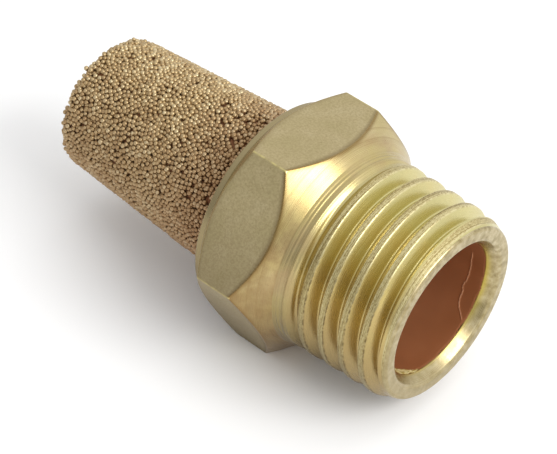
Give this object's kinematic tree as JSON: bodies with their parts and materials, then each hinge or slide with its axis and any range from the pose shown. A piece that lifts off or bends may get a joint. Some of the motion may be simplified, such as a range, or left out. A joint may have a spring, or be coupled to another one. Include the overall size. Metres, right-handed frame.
{
  "type": "pneumatic muffler",
  "caption": "Brass hexagon fitting with a taper pipe thread and open bore, and a closed porous bronze cup pressed into its back.",
  "frame": {"origin": "on the axis, in the plane where the hexagon's front chamfer ends and the threaded spigot starts", "axes": "+X along the axis, out of the threaded mouth; +Z square to one of the hexagon's flats; the cup points along -X"},
  "size_m": [0.0289, 0.0174, 0.015],
  "materials": {
    "turned_brass": "turned and pickled yellow brass, satin, brighter on the front chamfer and the thread's crests",
    "sintered_bronze": "sintered bronze beads about 0.3 mm across, rough and porous"
  },
  "bodies": {
    "root": {"threaded_hex_body": "turned_brass", "sintered_bronze_cup": "sintered_bronze"}
  },
  "joints": []
}
